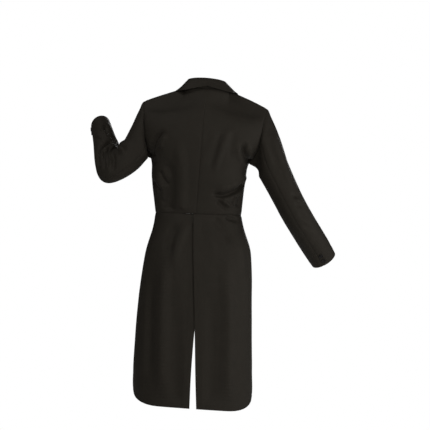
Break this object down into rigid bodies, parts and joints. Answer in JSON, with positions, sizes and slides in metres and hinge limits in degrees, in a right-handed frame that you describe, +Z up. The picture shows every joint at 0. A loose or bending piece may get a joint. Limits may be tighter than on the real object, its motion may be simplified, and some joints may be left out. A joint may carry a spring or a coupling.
{
  "type": "white tie tailcoat",
  "caption": "White tie tailcoat, worn form: waisted back, long tails parted by a vent, cut-away fronts with peaked lapels, turned collar, hollow sleeves, the left arm bent up.",
  "frame": {"origin": "the nape of the neck: the middle of the back neckline, where the coat hangs from its wearer", "axes": "+Z up along the coat's length, the coat's front faces -Y, its own left side is +X"},
  "size_m": [0.8894, 0.3116, 1.1998],
  "materials": {
    "suiting": "matte charcoal-black wool suiting",
    "lapel_facing": "black satin",
    "button": "dark horn, half matte"
  },
  "bodies": {
    "root": {"back_left": "suiting", "front_left": "suiting", "tail_left": "suiting", "sleeve_top_left": "suiting", "sleeve_under_left": "suiting", "lapel_left": "lapel_facing", "back_right": "suiting", "front_right": "suiting", "tail_right": "suiting", "sleeve_top_right": "suiting", "sleeve_under_right": "suiting", "lapel_right": "lapel_facing", "collar": "suiting", "button_front_left_1": "button", "button_front_left_2": "button", "button_front_left_3": "button", "button_cuff_left_1": "button", "button_cuff_left_2": "button", "button_front_right_1": "button", "button_front_right_2": "button", "button_front_right_3": "button", "button_cuff_right_1": "button", "button_cuff_right_2": "button"}
  },
  "joints": []
}
